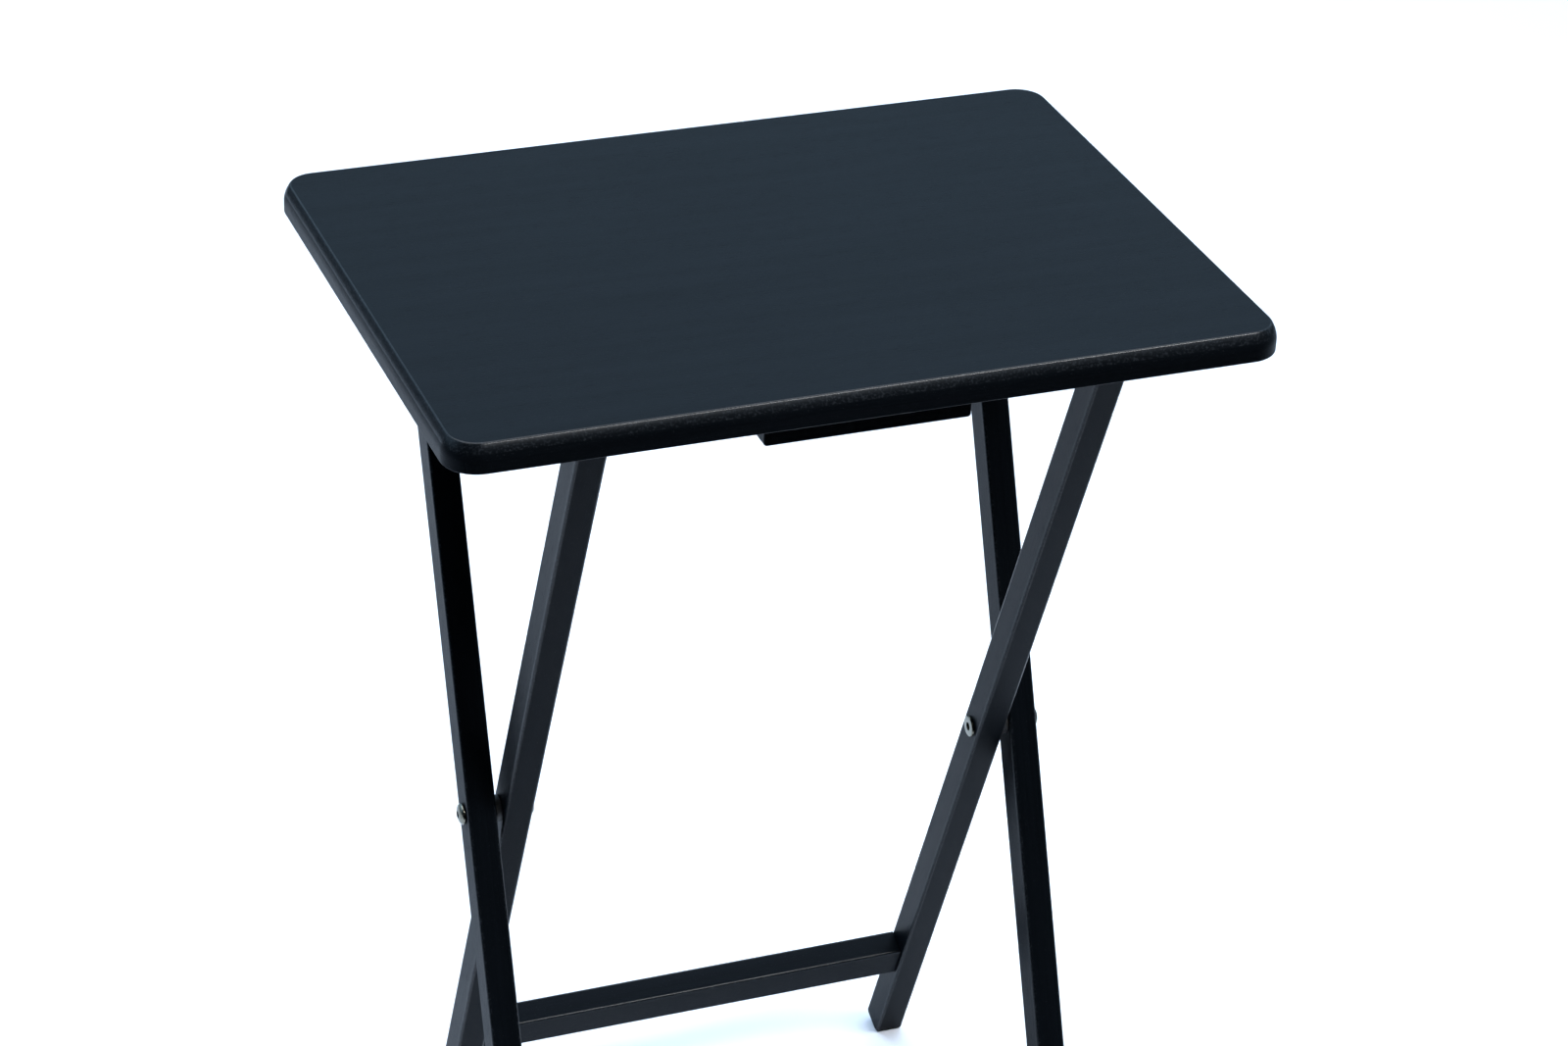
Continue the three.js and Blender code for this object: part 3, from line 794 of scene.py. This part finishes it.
def wood_screw(name, length):
    """A countersunk screw standing on its head, with a cross cut in the head."""
    screw = turn(name, [
        (0, 0),
        (SCREW_HEAD_RADIUS - 0.15 * MM, 0),
        (SCREW_HEAD_RADIUS, 0.15 * MM),
        (SCREW_RADIUS, SCREW_HEAD_HEIGHT),
        *threads(SCREW_HEAD_HEIGHT + SCREW_TIP, length - SCREW_TIP, SCREW_RADIUS, 1.6 * MM, 0.6 * MM),
        (0, length),
    ], 24)
    for span, width in ((CROSS_SPAN, CROSS_WIDTH), (CROSS_WIDTH, CROSS_SPAN)):
        drill(screw, block("cross", (-span / 2, -width / 2, -OVERRUN), (span / 2, width / 2, CROSS_DEPTH)))
    return screw


for group in (CATCH_SCREWS, CLEAT_SCREWS["left"] + CLEAT_SCREWS["right"]):
    low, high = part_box(group[0])
    pattern = wood_screw("screw", high.z - low.z)
    for name in group:
        screw = copy_of(pattern, name.replace("screw", "wood_screw"))
        low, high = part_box(name)
        move(screw, Matrix.Translation((*middle_of(name).xy, low.z)))
        fit(screw, "tabletop", "zinc_steel", name)
    bpy.data.objects.remove(pattern)

pattern = wood_screw("rail_screw", RAIL_SCREW_LENGTH)
for side, sign in (("left", -1), ("right", 1)):
    screw = copy_of(pattern, f"rail_wood_screw_{side}")
    into_rail = Matrix.Rotation(-math.pi / 2, 4, "X")
    seat_place = Matrix.Translation((sign * outer_x, rail_front + EASE, rail_middle.z))
    move(screw, OUTER_LEAN @ seat_place @ into_rail)
    fit(screw, "outer_frame", "zinc_steel", f"rail_screw_{side}")
bpy.data.objects.remove(pattern)

# %% [markdown]
# ## A workbench for finishes
# A finish is a small network of nodes: patterns that read a place on the piece and give numbers,
# and a shader that takes those numbers as colour, gloss and relief. Written node by node it gets
# long, so two small classes carry it. A wire is one value; adding or multiplying wires adds the
# Math nodes. A finish makes any other node in one call.

# %% Wires and finishes
class Wire:
    """One value in a finish. Arithmetic on it adds Math nodes."""

    def __init__(self, finish, socket):
        self.finish = finish
        self.socket = socket

    def worked(self, operation, first, second):
        return self.finish.node("ShaderNodeMath", {"operation": operation}, {0: first, 1: second})

    def __add__(self, other):
        return self.worked("ADD", self, other)

    def __sub__(self, other):
        return self.worked("SUBTRACT", self, other)

    def __rsub__(self, other):
        return self.worked("SUBTRACT", other, self)

    def __mul__(self, other):
        return self.worked("MULTIPLY", self, other)

    __radd__ = __add__
    __rmul__ = __mul__


class Nodes:
    """The nodes of a material or of the room's light."""

    def __init__(self, owner):
        owner.use_nodes = True
        self.tree = owner.node_tree
        self.tree.nodes.clear()

    def node(self, kind, settings=None, inputs=None, output=0):
        """Adds a node: its settings first, then values or wires for its sockets."""
        made = self.tree.nodes.new(kind)
        for name, value in (settings or {}).items():
            setattr(made, name, value)
        for name, value in (inputs or {}).items():
            if isinstance(value, Wire):
                self.tree.links.new(value.socket, made.inputs[name])
            else:
                made.inputs[name].default_value = value
        return Wire(self, made.outputs[output]) if made.outputs else None

    def noise(self, vector, scale, detail=2.0, roughness=0.5):
        return self.node(
            "ShaderNodeTexNoise", {},
            {"Vector": vector, "Scale": scale, "Detail": detail, "Roughness": roughness},
        )

    def stretched(self, vector, sizes):
        """The place, measured in sizes of a pattern's cell along X, Y and Z."""
        counts = tuple(1 / size for size in sizes)
        return self.node("ShaderNodeVectorMath", {"operation": "MULTIPLY"}, {0: vector, 1: counts})

    def between(self, value, low, high, to_low=0.0, to_high=1.0):
        """Maps a range of a value on another range, and holds it there beyond the ends."""
        return self.node(
            "ShaderNodeMapRange", {"clamp": True},
            {"Value": value, "From Min": low, "From Max": high, "To Min": to_low, "To Max": to_high},
        )

    def mix(self, share, first, second):
        """A colour between two colours."""
        return self.node(
            "ShaderNodeMix", {"data_type": "RGBA"},
            {0: share, 6: first if isinstance(first, Wire) else (*first, 1), 7: (*second, 1)}, 2,
        )


OBJECT_PLACE = 3  # the Texture Coordinate output that gives a place on the piece
FACTOR = 2  # the Attribute output that gives a plain number


class Finish(Nodes):
    """A material and its nodes."""

    def __init__(self, name):
        self.material = bpy.data.materials.new(name)
        super().__init__(self.material)

    def shade(self, colour, roughness, height, relief, **settings):
        """The last step: the shader with its colour, gloss and relief, and what stays constant."""
        bumped = self.node("ShaderNodeBump", {}, {"Strength": 1.0, "Distance": relief, "Height": height})
        inputs = {"Base Color": colour, "Roughness": roughness, "Normal": bumped}
        for name, value in settings.items():
            inputs[name.replace("_", " ").title().replace("Ior", "IOR")] = value
        shader = self.node("ShaderNodeBsdfPrincipled", {}, inputs)
        self.node("ShaderNodeOutputMaterial", {}, {"Surface": shader})
        return self.material

# %% [markdown]
# ## Black lacquer over wood
# The wood is sprayed with a thin blue-black satin lacquer. It doesn't fill the grain, so fine
# streaks and short open pores still show in the gloss, all of them running along the stick. The
# sheen drifts a little from place to place. On the rounded edges it is polished and rubbed
# thin in lighter specks; these specks are partly wear and partly a painted highlight along the
# edges. There is fine dust under the lacquer. One recipe makes every lacquered piece; only the
# direction of its grain changes.

# %% Lacquer
BLUE_BLACK = (0.0012, 0.0018, 0.0026)
SLATE = (0.0030, 0.0042, 0.0060)
# A pale tone for dust under the lacquer, for rubbed edges and for the painted highlight specks along them.
DUST_WEAR_AND_HIGHLIGHT = (0.022, 0.026, 0.032)
SHEEN_TINT = (0.62, 0.79, 1.0, 1.0)
LACQUER_IOR = 1.13
LACQUER_RELIEF = 0.035 * MM
WORN_POLISH = 0.3  # how much clear shine a rubbed edge gets
ACROSS_STREAK, ALONG_STREAK = 0.9 * MM, 70 * MM
ACROSS_PORE, ALONG_PORE = 0.45 * MM, 7 * MM
ACROSS_FIGURE, ALONG_FIGURE = 9 * MM, 160 * MM


def lacquer(name, long_axis, unlean=0.0):
    finish = Finish(name)
    place = finish.node("ShaderNodeTexCoord", output=OBJECT_PLACE)
    place = finish.node("ShaderNodeMapping", {}, {"Vector": place, "Rotation": (unlean, 0, 0)})

    def cells(across, along):
        return tuple(along if axis == long_axis else across for axis in range(3))

    streaks = finish.noise(finish.stretched(place, cells(ACROSS_STREAK, ALONG_STREAK)), 1.0, 3.0)
    figure = finish.noise(finish.stretched(place, cells(ACROSS_FIGURE, ALONG_FIGURE)), 1.0, 2.0)
    pores = finish.noise(finish.stretched(place, cells(ACROSS_PORE, ALONG_PORE)), 1.0, 1.0)
    pores = finish.between(pores, 0.60, 0.72)
    drift = finish.noise(place, 9.0, 2.0)
    dust = finish.between(finish.noise(place, 1400.0, 0.0), 0.76, 0.84)
    specks = finish.between(finish.noise(place, 750.0, 2.0), 0.5, 0.7)
    worn_and_highlight = finish.node("ShaderNodeAttribute", {"attribute_name": "worn_and_highlight"}, output=FACTOR)

    tone = finish.between(streaks * 0.5 + figure * 0.5, 0.32, 0.68)
    colour = finish.mix(tone * 0.7 + drift * 0.3, BLUE_BLACK, SLATE)
    # Dust, and lighter specks on the rounded edges: the specks are partly wear and partly a painted
    # highlight.
    colour = finish.mix(dust * 0.5 + worn_and_highlight * specks * 0.55, colour, DUST_WEAR_AND_HIGHLIGHT)
    roughness = 0.30 + streaks * 0.1 + drift * 0.1 + pores * 0.12
    height = streaks * 0.35 + figure * 0.3 - pores * 0.8 + dust * 0.5
    return finish.shade(
        colour, roughness, height, LACQUER_RELIEF, ior=LACQUER_IOR, specular_tint=SHEEN_TINT,
        coat_weight=worn_and_highlight * WORN_POLISH, coat_ior=1.5, coat_roughness=0.22,
    )


lacquer_along_x = lacquer("lacquer_grain_along_x", 0)
lacquer_along_y = lacquer("lacquer_grain_along_y", 1)
lacquer_outer_legs = lacquer("lacquer_outer_legs", 2, lean)
lacquer_inner_legs = lacquer("lacquer_inner_legs", 2, -lean)

# %% [markdown]
# ## Metals, nylon and bare wood
# The bolts are nickel plated: dark grey with a warm cast, polished by tumbling, with faint rings
# left by turning. The screws are zinc plated, duller and bluer, with a mottled film. The hidden
# inserts are brass. The spacers are moulded nylon, and the dowels are plain beech with darker
# rays.

# %% Metals
def metal(name, pale, dark, gloss, ring_size, relief):
    """A plated metal with drifting tone, fine scratches and turning rings round its X axis."""
    finish = Finish(name)
    place = finish.node("ShaderNodeTexCoord", output=OBJECT_PLACE)
    mottle = finish.noise(place, 900.0, 3.0)
    film = finish.noise(place, 260.0, 2.0)
    rings = finish.noise(finish.stretched(place, (ring_size, 3 * MM, 3 * MM)), 1.0, 2.0)
    scratches = finish.between(finish.noise(place, 2600.0, 2.0), 0.56, 0.66)
    colour = finish.mix(finish.between(film * 0.6 + mottle * 0.4, 0.35, 0.65), dark, pale)
    roughness = gloss + mottle * 0.12 + scratches * 0.1
    height = rings * 0.5 + mottle * 0.3 - scratches * 0.4
    return finish.shade(colour, roughness, height, relief, metallic=1.0)


nickel = metal("nickel_plate", (0.20, 0.20, 0.17), (0.12, 0.115, 0.09), 0.16, 0.25 * MM, 0.01 * MM)
zinc = metal("zinc_plate", (0.58, 0.60, 0.62), (0.40, 0.42, 0.45), 0.30, 0.3 * MM, 0.012 * MM)
brass = metal("brass", (0.70, 0.50, 0.22), (0.52, 0.35, 0.13), 0.28, 0.3 * MM, 0.012 * MM)


# %% Nylon and beech
def nylon_finish():
    finish = Finish("black_nylon")
    place = finish.node("ShaderNodeTexCoord", output=OBJECT_PLACE)
    skin = finish.noise(place, 2200.0, 2.0)
    flow = finish.noise(place, 180.0, 2.0)
    colour = finish.mix(flow, (0.007, 0.0075, 0.008), (0.014, 0.0145, 0.015))
    return finish.shade(colour, 0.45 + skin * 0.2, skin * 0.6 + flow * 0.4, 0.015 * MM)


def beech_finish():
    finish = Finish("bare_beech")
    place = finish.node("ShaderNodeTexCoord", output=OBJECT_PLACE)
    fibres = finish.noise(finish.stretched(place, (9 * MM, 0.5 * MM, 0.5 * MM)), 1.0, 3.0)
    rays = finish.noise(finish.stretched(place, (2.5 * MM, 0.3 * MM, 0.6 * MM)), 1.0)
    rays = finish.between(rays, 0.58, 0.7)
    colour = finish.mix(fibres, (0.42, 0.27, 0.14), (0.60, 0.42, 0.25))
    colour = finish.mix(rays * 0.6, colour, (0.25, 0.13, 0.06))
    return finish.shade(colour, 0.6 + fibres * 0.2, fibres - rays * 0.5, 0.04 * MM)


nylon = nylon_finish()
beech = beech_finish()

# %% Put each finish on its pieces
FINISHES = {
    "nickel_steel": nickel,
    "zinc_steel": zinc,
    "brass": brass,
    "black_nylon": nylon,
    "bare_wood": beech,
}
GRAIN = {
    "left_cleat": lacquer_along_y,
    "right_cleat": lacquer_along_y,
    "left_outer_leg": lacquer_outer_legs,
    "right_outer_leg": lacquer_outer_legs,
    "left_inner_leg": lacquer_inner_legs,
    "right_inner_leg": lacquer_inner_legs,
}
slot_of_node = {row["node"]: row["material_slot"] for row in frame["record"]["subparts"]}
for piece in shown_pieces():
    slot = piece.get("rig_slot") or slot_of_node[piece["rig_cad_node"]]
    finish = GRAIN.get(piece.name) or FINISHES.get(slot, lacquer_along_x)
    if "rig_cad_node" not in piece:
        piece.data.materials.clear()
        piece.data.materials.append(finish)
    else:
        for material_slot in piece.material_slots:
            material_slot.material = finish
        print("kept from the frame:", piece.name, "in", finish.name)

# %% [markdown]
# ## Floor, light and camera
# A dark glossy thing is drawn by what it mirrors. A wide soft light overhead makes the pale
# floor bright, and the left faces mirror the floor. A blue glow low behind the table colours the
# top. A narrow strip light in front draws the thin line along the board's front edge. The rest
# of the room in front is left dim, and the floor ends soon in front of the table, so the front
# faces stay deep black. The camera itself sees a plain white wall wherever there is no floor.

# %% Pale floor
FLOOR_SIZE = 5
FLOOR_FRONT = -0.5
FLOOR_TONE_SCALE = 1.5
bpy.ops.object.select_all(action="DESELECT")
bpy.ops.mesh.primitive_plane_add(size=FLOOR_SIZE, location=(0, FLOOR_FRONT + FLOOR_SIZE / 2, 0))
floor = settle("floor")
floor_paint = Finish("floor_paint")
floor_place = floor_paint.node("ShaderNodeTexCoord", output=OBJECT_PLACE)
floor_tone = floor_paint.noise(floor_place, FLOOR_TONE_SCALE)
floor.data.materials.append(floor_paint.shade(
    floor_paint.mix(floor_tone, (0.80, 0.85, 0.94), (0.82, 0.87, 0.96)),
    0.9, floor_tone, 0.1 * MM, specular_ior_level=0.1,
))

# %% Lights
def softbox(name, place, aim, size, power, spread):
    """A soft rectangular light that faces a point, with a grid that keeps its light within a spread."""
    lamp = bpy.data.lights.new(name, "AREA")
    lamp.shape = "RECTANGLE"
    lamp.size, lamp.size_y = size
    lamp.energy = power
    lamp.spread = math.radians(spread)
    holder = bpy.data.objects.new(name, lamp)
    bpy.context.scene.collection.objects.link(holder)
    holder.location = place
    holder.rotation_euler = (Vector(aim) - Vector(place)).to_track_quat("-Z", "Y").to_euler()


OVERHEAD_POWER = 245  # watts
STRIP_POWER = 12
softbox("overhead_light", (0.1, 1.1, 4.5), (0.1, 1.1, 0), (5.0, 4.5), OVERHEAD_POWER, 180)
softbox("strip_light", (1.0, -1.5, 2.6), (0, -0.15, 0.6), (1.8, 0.3), STRIP_POWER, 60)

# %% The room's own light
GLOW = 1.6
GLOW_COLOUR = (0.5, 0.75, 1.0, 1.0)
DIM = 0.01
WHITE = (1.0, 1.0, 1.0, 1.0)

world = bpy.data.worlds.new("studio")
bpy.context.scene.world = world
studio = Nodes(world)
toward = studio.node("ShaderNodeTexCoord")
height = studio.node("ShaderNodeSeparateXYZ", {}, {0: toward}, 2)
depth = studio.node("ShaderNodeSeparateXYZ", {}, {0: toward}, 1)
glow = studio.between(height, 0.02, 0.3, 0.0, GLOW) * studio.between(depth, -0.3, 0.3)
room = studio.node("ShaderNodeBackground", {}, {"Color": GLOW_COLOUR, "Strength": glow + DIM})
pale_wall = studio.node("ShaderNodeBackground", {}, {"Color": WHITE, "Strength": 1.0})
seen = studio.node("ShaderNodeLightPath")
wall = studio.node("ShaderNodeMixShader", {}, {0: seen, 1: room, 2: pale_wall})
studio.node("ShaderNodeOutputWorld", {}, {"Surface": wall})
bpy.context.scene.view_settings.view_transform = "Standard"

# %% Camera
CAMERA_LENS = 96.4  # mm, on a 36 mm sensor
CAMERA_AZIMUTH = math.radians(-22.06)
CAMERA_DOWN = math.radians(29.6)
CAMERA_ROLL = math.radians(2.6)
CAMERA_OFFSET = Vector((-0.7916, -1.9930, 1.3686))  # from the middle of the table

table_middle = (cad_low + cad_high) / 2
camera = bpy.data.objects.new("camera", bpy.data.cameras.new("camera"))
bpy.context.scene.collection.objects.link(camera)
camera.data.lens = CAMERA_LENS
camera.location = table_middle + CAMERA_OFFSET
aimed = Matrix.Rotation(CAMERA_AZIMUTH, 4, "Z") @ Matrix.Rotation(math.pi / 2 - CAMERA_DOWN, 4, "X")
camera.rotation_euler = (aimed @ Matrix.Rotation(CAMERA_ROLL, 4, "Z")).to_euler()
bpy.context.scene.camera = camera
